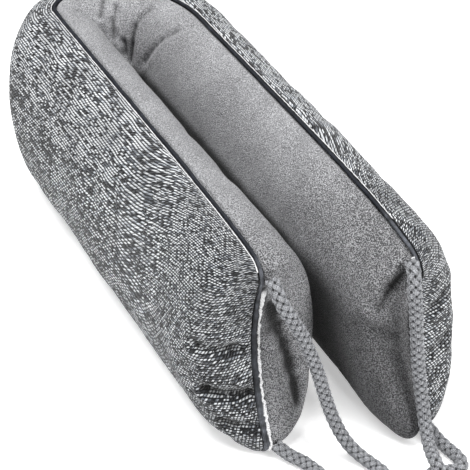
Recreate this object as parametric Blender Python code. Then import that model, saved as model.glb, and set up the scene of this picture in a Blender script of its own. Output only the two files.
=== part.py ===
"""Draught excluder: one long filled cushion folded into a U and standing on its lower seam.

A tweed panel faces outward and a plain panel faces inward.  Piping runs round the whole seam,
and a plaited rope loop is sewn into the seam at each end.  Metres, +Z up, the two ends at -Y.
"""
import math

import bmesh
import bpy
import numpy as np

# Cushion
CUSHION_HEIGHT = 0.160         # floor to the top of the piping, along the arms
SEAM_SPACING = 0.0865          # between the seam planes of the two arms
SEAM_MID_X = -0.0430           # plan line of the left arm's seam
LEFT_END_Y = -0.1798           # the left arm's end seam, at its corners
RIGHT_END_Y = -0.2154          # the right arm's end seam, which lies nearer
LEFT_BEND_Y = 0.1552           # where the left arm starts to turn
RIGHT_BEND_Y = 0.0902          # where the right arm starts to turn
BEND_REACH = 0.046             # how far the bend runs past a straight line between those points
OUTER_BULGE_LEFT = 0.0370      # tweed panel on the left arm, beyond the piping
OUTER_BULGE_RIGHT = 0.0365
OUTER_BULGE_BEND = 0.0480
INNER_BULGE_LEFT = 0.0405      # plain panel on the left arm, beyond the piping
INNER_BULGE_RIGHT = 0.0390
INNER_BULGE_BEND = 0.0300      # plain panel, squeezed in the bend
END_TAPER = 0.034              # length over which an end fills out to its full bulge
OUTER_END_BLUNTNESS = 2.3      # 2 would round an end off as an ellipse
INNER_END_BLUNTNESS = 3.6      # the plain panel is fuller at its ends
UPPER_FULLNESS = 0.90          # 1 would round the section off as an ellipse, less is fuller
OUTER_LOWER_FULLNESS = 1.08
INNER_LOWER_FULLNESS = 0.64
OUTER_END_FULLNESS_LEFT = 1.35  # of the tweed panel's lower half, at the two ends
OUTER_END_FULLNESS_RIGHT = 0.75
CORNER_RADIUS = 0.011          # of the seam's outline, seen from the side
LEFT_DROOP = 0.006             # how far the top corners hang below the arm's top line
RIGHT_DROOP = 0.014
DROOP_LENGTH = 0.036
END_DRAW_LEFT = 0.014          # how far the stuffing draws the middle of an end seam in
END_DRAW_RIGHT = 0.012
END_DRAW_LENGTH = 0.040
END_SLANT_LEFT = 0.0055        # how much further a lower corner reaches than the upper one
END_SLANT_RIGHT = 0.0022
SEAM_LEAN = 0.065              # outward run of the seam plane for each metre of drop
RIGHT_END_LEAN = 0.025         # the right arm's end seam stands more upright
END_SWELL_LEFT = 0.0065        # extra bulge of the plain panel at its ends
END_SWELL_RIGHT = -0.004
END_SWELL_LENGTH = 0.050
OVERHANG_LEFT = 0.001          # how far the plain panel's lower end hangs over the end seam
OVERHANG_RIGHT = 0.0125
OVERHANG_LENGTH = 0.035
SAG = 0.008                    # how far the filled section would reach below the floor

# Piping and seam
PIPING_RADIUS = 0.0021
SEAM_VALLEY = 0.0026           # from the piping's centre line to the cloth round it
CLOTH_GAP = 0.0003             # between the two panels, in the seam plane
PIPING_SIDES = 6

# Grid of each panel
END_COLUMNS = 9
ARM_STEP = 0.0120
BEND_STEP = 0.0060
ROWS = 18
BACK_ROWS = 3                  # rows of the flat side that faces the other panel
PLAN_SAMPLES = 400             # points of the plan line that distances are read from
PLAN_OVERRUN = 0.020           # straight run of the plan line past each end, for the piping's width

# Rope
ROPE_STRANDS = 3
STRAND_RADIUS = 0.0026
STRAND_SWING = 0.0021          # sideways swing of each strand
STRAND_RISE = 0.0013           # rise and fall of each strand as it crosses the others
PLAIT_LENGTH = 0.0175          # of one full turn of a strand through the plait
PLAIT_STEPS = 12
ROPE_SIDES = 8
ROUTE_STEPS = 24               # points of the smooth curve between two points set by hand

# Materials: colour and roughness
TWEED = ((0.33, 0.35, 0.38), 0.95)
PLAIN_VELOUR = ((0.27, 0.27, 0.28), 0.90)
PIPING_COVER = ((0.035, 0.037, 0.045), 0.45)
ROPE_WOOL = ((0.17, 0.18, 0.21), 0.95)

# Folds pressed into a panel, each a soft trough along a straight line: the line's two ends in
# x, y and height, then the trough's depth and width.
FOLD_COLUMNS = ("x_1", "y_1", "z_1", "x_2", "y_2", "z_2", "depth", "width")
INNER_FOLDS = (
    (-0.004, 0.162, 0.156, -0.012, 0.142, 0.125, 0.0060, 0.0055),
    (-0.012, 0.160, 0.155, -0.012, 0.150, 0.143, 0.0030, 0.0045),
    (0.002, 0.151, 0.153, -0.007, 0.141, 0.108, 0.0060, 0.0055),
    (0.021, 0.129, 0.154, 0.002, 0.133, 0.110, 0.0060, 0.0060),
    (0.026, 0.091, 0.152, 0.008, 0.119, 0.115, 0.0040, 0.0065),
    (-0.031, 0.131, 0.156, -0.020, 0.124, 0.147, 0.0030, 0.0080),
    (-0.041, -0.173, 0.123, -0.032, -0.169, 0.104, 0.0050, 0.0075),
    (-0.032, -0.169, 0.104, -0.022, -0.168, 0.044, 0.0060, 0.0075),
    (0.035, -0.212, 0.134, 0.025, -0.205, 0.106, 0.0060, 0.0090),
    (0.035, -0.206, 0.084, 0.017, -0.200, 0.087, 0.0030, 0.0060),
)
OUTER_FOLDS = (
    (-0.054, -0.173, 0.048, -0.083, -0.160, 0.053, 0.0030, 0.0050),
    (-0.061, -0.168, 0.085, -0.081, -0.156, 0.089, 0.0025, 0.0055),
    (-0.057, -0.176, 0.025, -0.077, -0.166, 0.027, 0.0022, 0.0050),
    (0.059, -0.212, 0.056, 0.082, -0.200, 0.060, 0.0025, 0.0055),
    (0.057, -0.208, 0.090, 0.078, -0.196, 0.095, 0.0022, 0.0055),
)

# Rope routes by hand, from the top corner to the bottom one: x, y and height
LEFT_ROPE_ROUTE = (
    (-0.0394, -0.1832, 0.1425),
    (-0.0397, -0.1886, 0.1390),
    (-0.0388, -0.1930, 0.1315),
    (-0.0350, -0.1958, 0.1210),
    (-0.0295, -0.1970, 0.1070),
    (-0.0250, -0.1985, 0.0910),
    (-0.0210, -0.2000, 0.0740),
    (-0.0175, -0.2020, 0.0520),
    (-0.0135, -0.2065, 0.0300),
    (-0.0080, -0.2130, 0.0135),
    (-0.0025, -0.2220, 0.0062),
    (0.0015, -0.2330, 0.0048),
    (0.0030, -0.2440, 0.0047),
    (-0.0020, -0.2545, 0.0047),
    (-0.0130, -0.2570, 0.0047),
    (-0.0230, -0.2485, 0.0047),
    (-0.0290, -0.2335, 0.0047),
    (-0.0325, -0.2190, 0.0047),
    (-0.0365, -0.2050, 0.0047),
    (-0.0415, -0.1960, 0.0052),
    (-0.0466, -0.1862, 0.0088),
)
RIGHT_ROPE_ROUTE = (
    (0.0397, -0.2132, 0.1440),
    (0.0379, -0.2186, 0.1410),
    (0.0364, -0.2220, 0.1320),
    (0.0370, -0.2225, 0.1170),
    (0.0378, -0.2220, 0.0915),
    (0.0388, -0.2220, 0.0680),
    (0.0400, -0.2230, 0.0455),
    (0.0405, -0.2250, 0.0320),
    (0.0395, -0.2290, 0.0210),
    (0.0370, -0.2370, 0.0130),
    (0.0340, -0.2460, 0.0125),
    (0.0315, -0.2550, 0.0136),
    (0.0300, -0.2650, 0.0095),
    (0.0280, -0.2725, 0.0060),
    (0.0215, -0.2775, 0.0047),
    (0.0145, -0.2730, 0.0047),
    (0.0140, -0.2645, 0.0047),
    (0.0205, -0.2575, 0.0047),
    (0.0300, -0.2550, 0.0047),
    (0.0395, -0.2585, 0.0047),
    (0.0455, -0.2600, 0.0047),
    (0.0497, -0.2565, 0.0047),
    (0.0503, -0.2490, 0.0047),
    (0.0488, -0.2400, 0.0047),
    (0.0474, -0.2310, 0.0055),
    (0.0466, -0.2212, 0.0078),
)


def clear_scene():
    for item in list(bpy.data.objects):
        bpy.data.objects.remove(item, do_unlink=True)


def cloth_material(name, look):
    colour, roughness = look
    material = bpy.data.materials.new(name)
    material.use_nodes = True
    shader = material.node_tree.nodes["Principled BSDF"]
    shader.inputs["Base Color"].default_value = (*colour, 1.0)
    shader.inputs["Roughness"].default_value = roughness
    shader.inputs["Metallic"].default_value = 0.0
    return material


def add_object(name, mesh_bm, material):
    bmesh.ops.recalc_face_normals(mesh_bm, faces=mesh_bm.faces)
    mesh = bpy.data.meshes.new(name)
    mesh_bm.to_mesh(mesh)
    mesh_bm.free()
    mesh.materials.append(material)
    item = bpy.data.objects.new(name, mesh)
    bpy.context.scene.collection.objects.link(item)
    return item


# ---- The seam plane: a U in plan, with a distance along it and a height

def plan_points():
    """Points of the seam's plan line, from the left end round the bend to the right end."""
    turn = np.linspace(0.0, math.pi, PLAN_SAMPLES)
    bend_x = SEAM_MID_X + SEAM_SPACING * (1.0 - np.cos(turn)) / 2.0
    bend_y = LEFT_BEND_Y + (RIGHT_BEND_Y - LEFT_BEND_Y) * turn / math.pi + BEND_REACH * np.sin(turn)
    left = (SEAM_MID_X, LEFT_END_Y - PLAN_OVERRUN)
    right = (SEAM_MID_X + SEAM_SPACING, RIGHT_END_Y - PLAN_OVERRUN)
    return np.vstack([left, np.column_stack([bend_x, bend_y]), right])


class Seam:
    """Reads places on the seam plane by distance along the U."""

    def __init__(self):
        self.points = plan_points()
        steps = np.linalg.norm(np.diff(self.points, axis=0), axis=1)
        self.distance = np.concatenate([[0.0], np.cumsum(steps)]) - PLAN_OVERRUN
        self.length = float(self.distance[-1]) - PLAN_OVERRUN
        self.bend_start = float(self.distance[1])
        self.bend_end = float(self.distance[-2])

    def plan(self, along):
        return np.array([np.interp(along, self.distance, self.points[:, axis]) for axis in (0, 1)])

    def outward(self, along):
        """Unit vector in plan from the gap between the arms towards the tweed side."""
        reach = BEND_STEP / 4.0
        ahead = self.plan(along + reach)
        behind = self.plan(along - reach)
        run = (ahead - behind) / np.linalg.norm(ahead - behind)
        return np.array([-run[1], run[0]])

    def from_end(self, along):
        return max(min(along, self.length - along), 0.0)

    def on_left(self, along):
        return along < self.length / 2.0

    def turned(self, along):
        """0 on the left arm, 1 on the right arm, eased through the bend."""
        share = (along - self.bend_start) / (self.bend_end - self.bend_start)
        share = min(max(share, 0.0), 1.0)
        return share * share * (3.0 - 2.0 * share)

    def corner_drop(self, along):
        inset = CORNER_RADIUS - min(self.from_end(along), CORNER_RADIUS)
        return CORNER_RADIUS - math.sqrt(CORNER_RADIUS ** 2 - inset ** 2)

    def top(self, along):
        """Height of the piping's centre line on the upper seam."""
        droop = LEFT_DROOP if self.on_left(along) else RIGHT_DROOP
        droop = droop * math.exp(-self.from_end(along) / DROOP_LENGTH)
        return CUSHION_HEIGHT - PIPING_RADIUS - droop - self.corner_drop(along)

    def bottom(self, along):
        return PIPING_RADIUS + self.corner_drop(along)

    def drawn(self, along, level):
        """Distance along the seam after the stuffing draws the end seams in.

        The level is 1 on the upper seam and -1 on the lower one.
        """
        draw = END_DRAW_LEFT if self.on_left(along) else END_DRAW_RIGHT
        slant = END_SLANT_LEFT if self.on_left(along) else END_SLANT_RIGHT
        inward = 1.0 if self.on_left(along) else -1.0
        ease = math.exp(-self.from_end(along) / END_DRAW_LENGTH)
        return along + inward * ease * (draw * (1.0 - level * level) - slant * (1.0 - level) / 2.0)

    def place(self, along, height, sideways):
        """World point; sideways is positive towards the tweed side."""
        lean = SEAM_LEAN
        if not self.on_left(along):
            ease = math.exp(-self.from_end(along) / END_DRAW_LENGTH)
            lean += (RIGHT_END_LEAN - SEAM_LEAN) * ease
        lean = lean * (CUSHION_HEIGHT - height)
        plan = self.plan(along) + self.outward(along) * (sideways + lean)
        return np.array([plan[0], plan[1], height])


def column_distances(seam):
    """Distances along the seam of the grid's columns: close at the ends and in the bend."""
    end_turn = np.linspace(0.0, math.pi / 2.0, END_COLUMNS)
    end = END_TAPER * (1.0 - np.abs(np.cos(end_turn)) ** (2.0 / OUTER_END_BLUNTNESS))
    left_count = round((seam.bend_start - END_TAPER) / ARM_STEP)
    left = np.linspace(END_TAPER, seam.bend_start, left_count + 1)
    bend_count = round((seam.bend_end - seam.bend_start) / BEND_STEP)
    bend = np.linspace(seam.bend_start, seam.bend_end, bend_count + 1)
    right_count = round((seam.length - END_TAPER - seam.bend_end) / ARM_STEP)
    right = np.linspace(seam.bend_end, seam.length - END_TAPER, right_count + 1)
    return np.concatenate([end, left[1:], bend[1:], right[1:], seam.length - end[::-1][1:]])


def outline_points(seam, columns):
    """The piping's centre line in the seam plane, as (column, row, distance, height)."""
    last = len(columns) - 1
    ring = [(column, 0) for column in range(last + 1)]
    ring += [(last, row) for row in range(1, ROWS + 1)]
    ring += [(column, ROWS) for column in range(last - 1, -1, -1)]
    ring += [(0, row) for row in range(ROWS - 1, 0, -1)]
    points = []
    for column, row in ring:
        level = math.cos(math.pi * row / ROWS)
        top = seam.top(columns[column])
        bottom = seam.bottom(columns[column])
        height = (top + bottom) / 2.0 + (top - bottom) / 2.0 * level
        points.append((column, row, seam.drawn(columns[column], level), height))
    return points


def outline_normals(points):
    """In-plane unit vectors that point out of the cushion, as (along, height)."""
    flat = np.array([point[2:] for point in points])
    run = np.roll(flat, -1, axis=0) - np.roll(flat, 1, axis=0)
    run = run / np.linalg.norm(run, axis=1)[:, None]
    return np.column_stack([-run[:, 1], run[:, 0]])


# ---- The two panels

def bulge(seam, along, outer):
    """How far the filled cloth stands off the seam plane at mid height, beyond the piping."""
    left, right, bend = INNER_BULGE_LEFT, INNER_BULGE_RIGHT, INNER_BULGE_BEND
    bluntness = INNER_END_BLUNTNESS
    if outer:
        left, right, bend = OUTER_BULGE_LEFT, OUTER_BULGE_RIGHT, OUTER_BULGE_BEND
        bluntness = OUTER_END_BLUNTNESS
    fill = 1.0 - min(seam.from_end(along) / END_TAPER, 1.0)
    taper = (1.0 - fill ** bluntness) ** (1.0 / bluntness)
    turned = seam.turned(along)
    arm = left + (right - left) * turned
    in_bend = 4.0 * turned * (1.0 - turned)
    swell = 0.0
    if not outer:
        swell = END_SWELL_LEFT if seam.on_left(along) else END_SWELL_RIGHT
        swell = swell * math.exp(-seam.from_end(along) / END_SWELL_LENGTH)
    return (arm + (bend - arm) * in_bend + swell) * taper


def lower_fullness(seam, along, outer):
    if not outer:
        return INNER_LOWER_FULLNESS
    end = OUTER_END_FULLNESS_LEFT if seam.on_left(along) else OUTER_END_FULLNESS_RIGHT
    ease = math.exp(-seam.from_end(along) / END_SWELL_LENGTH)
    return OUTER_LOWER_FULLNESS + (end - OUTER_LOWER_FULLNESS) * ease


def overhang(seam, along, level, share):
    """How far the plain panel's end hangs over its seam, as a run along the seam.

    The share is 0 at the seam and 1 where the panel is fullest.
    """
    reach = -OVERHANG_LEFT if seam.on_left(along) else OVERHANG_RIGHT
    ease = math.exp(-seam.from_end(along) / OVERHANG_LENGTH)
    profile = min(share / 0.35, 1.0) * (1.25 - 0.65 * share)
    return reach * ease * profile * (1.0 - level) / 2.0


def filled_grid(seam, columns, outer):
    """Points of a panel's filled side: one column for each distance, rows from the upper seam down."""
    side = 1.0 if outer else -1.0
    grid = np.zeros((len(columns), ROWS + 1, 3))
    for column, along in enumerate(columns):
        filled = min(seam.from_end(along) / END_TAPER, 1.0)
        top = seam.top(along)
        bottom = seam.bottom(along)
        low = bottom - SAG * filled
        for row in range(ROWS + 1):
            angle = math.pi * row / ROWS
            level = math.cos(angle)
            over = 0.0
            if row in (0, ROWS) or filled == 0.0:
                height = (top + bottom) / 2.0 + (top - bottom) / 2.0 * level
                sideways = SEAM_VALLEY
            else:
                fullness = UPPER_FULLNESS if level > 0.0 else lower_fullness(seam, along, outer)
                height = (top + low) / 2.0 + (top - low) / 2.0 * level
                full = bulge(seam, along, outer)
                sideways = SEAM_VALLEY + full * math.sin(angle) ** fullness
                if not outer:
                    over = overhang(seam, along, level, (sideways - SEAM_VALLEY) / INNER_BULGE_LEFT)
            grid[column, row] = seam.place(seam.drawn(along, level) + over, height, side * sideways)
    return grid


def fold_depth(fold, point):
    start = np.array([fold["x_1"], fold["y_1"], fold["z_1"]])
    run = np.array([fold["x_2"], fold["y_2"], fold["z_2"]]) - start
    share = min(max(float((point - start) @ run) / float(run @ run), 0.0), 1.0)
    away = np.linalg.norm(point - start - share * run) / fold["width"]
    return fold["depth"] * math.exp(-away * away)


def press_folds(grid, folds, outer):
    """Move the grid's inner points into the filling, square to the cloth, along every fold."""
    side = 1.0 if outer else -1.0
    folds = [dict(zip(FOLD_COLUMNS, values)) for values in folds]
    along = np.gradient(grid, axis=0)
    down = np.gradient(grid, axis=1)
    normals = np.cross(along, down) * side
    pressed = grid.copy()
    for column in range(1, len(grid) - 1):
        for row in range(1, ROWS):
            normal = normals[column, row] / np.linalg.norm(normals[column, row])
            depth = sum(fold_depth(fold, grid[column, row]) for fold in folds)
            pressed[column, row] = grid[column, row] - normal * depth
    pressed[:, :, 2] = np.maximum(pressed[:, :, 2], 0.0)
    return pressed


def close_back(mesh_bm, seam, columns, edge, side):
    """The flat side along the seam plane, inside the panel's rim."""
    last = len(columns) - 1
    first = next(index for index, along in enumerate(columns) if along > 2.0 * SEAM_VALLEY)
    back_rows = [ROWS * number // BACK_ROWS for number in range(BACK_ROWS + 1)]
    back = dict(edge)
    for column in range(first, last - first + 1):
        for row in back_rows[1:-1]:
            level = math.cos(math.pi * row / ROWS)
            top = seam.top(columns[column])
            bottom = seam.bottom(columns[column])
            height = (top + bottom) / 2.0 + (top - bottom) / 2.0 * level
            middle = seam.place(seam.drawn(columns[column], level), height, side * CLOTH_GAP / 2.0)
            back[column, row] = mesh_bm.verts.new(middle)
    for upper, lower in zip(back_rows, back_rows[1:]):
        for column in range(first, last - first):
            mesh_bm.faces.new((back[column, upper], back[column + 1, upper],
                               back[column + 1, lower], back[column, lower]))
        for end, inmost, step in ((0, first, 1), (last, last - first, -1)):
            near_end = list(range(end, inmost, step))
            rim = [back[end, row] for row in range(upper, lower + 1)]
            if upper == 0:
                rim = [back[column, 0] for column in near_end[:0:-1]] + rim
            if lower == ROWS:
                rim = rim + [back[column, ROWS] for column in near_end[1:]]
            mesh_bm.faces.new([back[inmost, upper]] + rim + [back[inmost, lower]])


def panel_mesh(seam, columns, outline, normals, outer, folds):
    """One filled half: its puffed side, the valley round the piping and its flat seam side."""
    mesh_bm = bmesh.new()
    side = 1.0 if outer else -1.0
    last = len(columns) - 1
    places = press_folds(filled_grid(seam, columns, outer), folds, outer)
    grid = {}
    for column in range(last + 1):
        for row in range(ROWS + 1):
            grid[column, row] = mesh_bm.verts.new(places[column, row])
    for column in range(last):
        for row in range(ROWS):
            mesh_bm.faces.new((grid[column, row], grid[column + 1, row],
                               grid[column + 1, row + 1], grid[column, row + 1]))
    edge = {}
    valley = {}
    lean_in = SEAM_VALLEY * math.cos(math.pi / 4.0)
    for (column, row, along, height), normal in zip(outline, normals):
        slope = seam.place(along - normal[0] * lean_in, height - normal[1] * lean_in, side * lean_in)
        valley[column, row] = mesh_bm.verts.new(slope)
        rim = seam.place(along - normal[0] * SEAM_VALLEY, height - normal[1] * SEAM_VALLEY,
                         side * CLOTH_GAP / 2.0)
        edge[column, row] = mesh_bm.verts.new(rim)
    ring = [point[:2] for point in outline]
    for here, there in zip(ring, ring[1:] + ring[:1]):
        mesh_bm.faces.new((grid[here], grid[there], valley[there], valley[here]))
        mesh_bm.faces.new((valley[here], valley[there], edge[there], edge[here]))
    close_back(mesh_bm, seam, columns, edge, side)
    return mesh_bm


# ---- Piping and ropes

def bridge_rings(mesh_bm, rings, closed):
    """Faces between rings of vertices; open runs get a flat cap at each end."""
    pairs = list(zip(rings, rings[1:]))
    if closed:
        pairs.append((rings[-1], rings[0]))
    else:
        mesh_bm.faces.new(rings[0])
        mesh_bm.faces.new(rings[-1])
    for first, second in pairs:
        count = len(first)
        for number in range(count):
            following = (number + 1) % count
            mesh_bm.faces.new((first[number], first[following], second[following], second[number]))


def piping_mesh(seam, outline, normals):
    mesh_bm = bmesh.new()
    rings = []
    for (column, row, along, height), normal in zip(outline, normals):
        ring = []
        for number in range(PIPING_SIDES):
            angle = 2.0 * math.pi * number / PIPING_SIDES
            out = PIPING_RADIUS * math.cos(angle)
            spot = seam.place(along + normal[0] * out, height + normal[1] * out,
                              PIPING_RADIUS * math.sin(angle))
            ring.append(mesh_bm.verts.new(spot))
        rings.append(ring)
    bridge_rings(mesh_bm, rings, closed=True)
    return mesh_bm


def smooth_route(points):
    """A dense smooth curve through hand-set points (centripetal spline)."""
    knots = np.array(points)
    padded = np.vstack([2.0 * knots[0] - knots[1], knots, 2.0 * knots[-1] - knots[-2]])
    curve = []
    for start in range(1, len(padded) - 2):
        span = padded[start - 1:start + 3]
        gaps = np.sqrt(np.linalg.norm(np.diff(span, axis=0), axis=1))
        times = np.concatenate([[0.0], np.cumsum(gaps)])
        for moment in np.linspace(times[1], times[2], ROUTE_STEPS, endpoint=False):
            level = span
            for order in (1, 2, 3):
                upper = times[order:]
                lower = times[:-order]
                weight = ((moment - lower) / (upper - lower))[:, None]
                level = level[:-1] * (1.0 - weight) + level[1:] * weight
            curve.append(level[0])
    curve.append(knots[-1])
    return np.array(curve)


def even_steps(curve, step):
    """The same curve, read at even distances."""
    distance = np.concatenate([[0.0], np.cumsum(np.linalg.norm(np.diff(curve, axis=0), axis=1))])
    count = round(float(distance[-1]) / step)
    marks = np.linspace(0.0, float(distance[-1]), count + 1)
    return marks, np.column_stack([np.interp(marks, distance, curve[:, axis]) for axis in range(3)])


def plait_radius(mark, angle):
    """Reach of the plait's outline from its centre, in one direction across the rope."""
    ray = np.array([math.cos(angle), math.sin(angle)])
    reach = 0.0
    for strand in range(ROPE_STRANDS):
        phase = 2.0 * math.pi * (mark / PLAIT_LENGTH + strand / ROPE_STRANDS)
        centre = np.array([STRAND_SWING * math.sin(phase), STRAND_RISE * math.sin(2.0 * phase)])
        ahead = float(centre @ ray)
        inside = STRAND_RADIUS ** 2 - float(centre @ centre) + ahead * ahead
        if inside > 0.0:
            reach = max(reach, ahead + math.sqrt(inside))
    return reach


def rope_mesh(route):
    """A plaited rope as one solid: its outline swells where a strand comes to the surface."""
    mesh_bm = bmesh.new()
    marks, centres = even_steps(smooth_route(route), PLAIT_LENGTH / PLAIT_STEPS)
    tangents = np.gradient(centres, axis=0)
    tangents = tangents / np.linalg.norm(tangents, axis=1)[:, None]
    across = np.cross(tangents[0], (0.0, 0.0, 1.0))
    rings = []
    for mark, centre, tangent in zip(marks, centres, tangents):
        across = across - tangent * float(across @ tangent)
        across = across / np.linalg.norm(across)
        upward = np.cross(across, tangent)
        ring = []
        for number in range(ROPE_SIDES):
            angle = 2.0 * math.pi * number / ROPE_SIDES
            reach = plait_radius(mark, angle)
            offset = across * math.cos(angle) + upward * math.sin(angle)
            spot = centre + offset * reach
            spot[2] = max(spot[2], 0.0)
            ring.append(mesh_bm.verts.new(spot))
        rings.append(ring)
    bridge_rings(mesh_bm, rings, closed=False)
    return mesh_bm


def main():
    clear_scene()
    tweed = cloth_material("tweed", TWEED)
    plain = cloth_material("plain_velour", PLAIN_VELOUR)
    cord_cover = cloth_material("piping_cover", PIPING_COVER)
    wool = cloth_material("rope_wool", ROPE_WOOL)
    seam = Seam()
    columns = column_distances(seam)
    outline = outline_points(seam, columns)
    normals = outline_normals(outline)
    outer = panel_mesh(seam, columns, outline, normals, True, OUTER_FOLDS)
    add_object("outer_panel", outer, tweed)
    inner = panel_mesh(seam, columns, outline, normals, False, INNER_FOLDS)
    add_object("inner_panel", inner, plain)
    add_object("piping", piping_mesh(seam, outline, normals), cord_cover)
    add_object("handle_left", rope_mesh(LEFT_ROPE_ROUTE), wool)
    add_object("handle_right", rope_mesh(RIGHT_ROPE_ROUTE), wool)


if __name__ == "__main__":
    main()
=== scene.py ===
"""Draught excluder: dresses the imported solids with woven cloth, piping, plaited ropes and a studio."""

import math

import bmesh
import bpy
import numpy as np
from mathutils import Matrix, Vector, noise


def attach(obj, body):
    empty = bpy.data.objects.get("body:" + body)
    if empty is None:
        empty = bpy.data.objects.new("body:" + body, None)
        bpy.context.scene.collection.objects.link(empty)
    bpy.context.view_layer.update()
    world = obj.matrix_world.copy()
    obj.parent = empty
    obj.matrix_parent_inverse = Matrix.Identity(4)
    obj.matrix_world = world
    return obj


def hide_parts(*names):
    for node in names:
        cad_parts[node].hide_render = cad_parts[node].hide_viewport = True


bl_info = {
    "name": "Draught Excluder",
    "version": (1, 0, 0),
    "blender": (4, 5, 0),
    "location": "View3D > Sidebar > Draught Excluder",
    "description": "Builds a folded draught excluder of tweed and velour with plaited rope handles",
    "category": "Object",
}

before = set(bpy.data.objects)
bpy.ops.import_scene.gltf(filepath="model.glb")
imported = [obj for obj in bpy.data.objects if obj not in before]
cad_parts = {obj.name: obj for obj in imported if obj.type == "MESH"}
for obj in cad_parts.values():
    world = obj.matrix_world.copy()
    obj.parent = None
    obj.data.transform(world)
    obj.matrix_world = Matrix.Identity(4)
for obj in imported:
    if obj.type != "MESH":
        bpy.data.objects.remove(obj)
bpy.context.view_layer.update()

# ---- The cushion's shape, with the values of the part's source. Pairs are left arm and right arm

LEFT_SEAM_X = -0.0430
END_Y = (-0.1798, -0.2154)
BEND_Y = (0.1552, 0.0902)
BEND_REACH = 0.046
OUTER_BULGES = (0.0370, 0.0365, 0.0525)  # left arm, right arm, bend
INNER_BULGES = (0.0405, 0.0390, 0.0300)
END_TAPER = 0.034
OUTER_END_BLUNTNESS = 2.3
INNER_END_BLUNTNESS = 3.6
UPPER_FULLNESS = 0.90
OUTER_LOWER_FULLNESS = 1.08
INNER_LOWER_FULLNESS = 0.64
OUTER_END_FULLNESS = (1.35, 0.75)  # of the tweed panel's lower half, at the ends
CORNER_RADIUS = 0.011
DROOP = (0.006, 0.014)
DROOP_LENGTH = 0.036
END_DRAW = (0.014, 0.012)
END_DRAW_LENGTH = 0.040
END_SLANT = (0.0055, 0.0022)
SEAM_LEAN = 0.065
RIGHT_END_LEAN = 0.025
END_SWELL = (0.0065, -0.004)
END_SWELL_LENGTH = 0.050
OVERHANG = (-0.001, 0.0125)  # as a run along the seam
OVERHANG_LENGTH = 0.035
OVERHANG_RISE = 0.35  # share of the bulge where the overhang is full
OVERHANG_PROFILE = (1.25, 0.65)  # beside the seam, and what it loses by the full bulge
SAG = 0.008
SEAM_VALLEY = 0.0026
CLOTH_GAP = 0.0003
PLAN_SAMPLES = 400
PLAN_OVERRUN = 0.020

# Folds pressed into the cloth, as lines of points; each fold also darkens the colour as painted shade. A
# point has x, y, height, and the depth and the width of the stretch that it starts; the last point starts
# none.
INNER_FOLDS = (
    ((-0.004, 0.162, 0.156, 0.0014, 0.0045), (-0.012, 0.142, 0.125)),
    ((0.002, 0.151, 0.153, 0.0012, 0.0050), (-0.007, 0.141, 0.108)),
    ((0.021, 0.129, 0.154, 0.0012, 0.0060), (0.002, 0.133, 0.110)),
    ((-0.0049, 0.1566, 0.1539, 0.0026, 0.0022), (-0.0099, 0.1512, 0.1447, 0.0024, 0.0022),
     (-0.0182, 0.1303, 0.1451)),
    ((0.0019, 0.1492, 0.1504, 0.0021, 0.0022), (-0.0028, 0.1464, 0.1410, 0.0026, 0.0022),
     (-0.0056, 0.1435, 0.1275)),
    ((0.0202, 0.1286, 0.1532, 0.0021, 0.0022), (0.0090, 0.1330, 0.1396, 0.0028, 0.0022),
     (0.0046, 0.1331, 0.1259, 0.0034, 0.0024), (0.0018, 0.1336, 0.1113)),
    ((0.0250, 0.0928, 0.1517, 0.0019, 0.0022), (0.0165, 0.1041, 0.1403, 0.0022, 0.0022),
     (0.0113, 0.1131, 0.1275, 0.0022, 0.0022), (0.0079, 0.1197, 0.1151)),
    ((0.0008, 0.1381, 0.1259, 0.0030, 0.0024), (-0.0004, 0.1369, 0.1151)),
    # Beside the left rope: this fold's painted shade also stands in for the rope's cast shadow
    ((-0.0430, -0.1730, 0.1197, 0.0056, 0.0055), (-0.0350, -0.1703, 0.1064, 0.0060, 0.0055),
     (-0.0309, -0.1688, 0.0880, 0.0054, 0.0048), (-0.0265, -0.1690, 0.0726, 0.0056, 0.0048),
     (-0.0242, -0.1707, 0.0559, 0.0050, 0.0050), (-0.0217, -0.1746, 0.0270)),
    ((0.0342, -0.2129, 0.1360, 0.0036, 0.0058), (0.0272, -0.2104, 0.1258, 0.0030, 0.0062),
     (0.0211, -0.2073, 0.1122)),
    ((0.0327, -0.2086, 0.0858, 0.0024, 0.0028), (0.0227, -0.2079, 0.0919, 0.0020, 0.0026),
     (0.0154, -0.2040, 0.0918)),
)
# Folds in the tweed, likewise darkened with painted shade
OUTER_FOLDS = (
    ((-0.054, -0.173, 0.048, 0.0055, 0.0038), (-0.083, -0.160, 0.053)),
    ((-0.061, -0.168, 0.085, 0.0040, 0.0042), (-0.081, -0.156, 0.089)),
    ((-0.057, -0.176, 0.025, 0.0045, 0.0038), (-0.077, -0.166, 0.027)),
    ((0.059, -0.212, 0.056, 0.0042, 0.0042), (0.082, -0.200, 0.060)),
    ((0.057, -0.208, 0.090, 0.0038, 0.0042), (0.078, -0.196, 0.095)),
)

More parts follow.
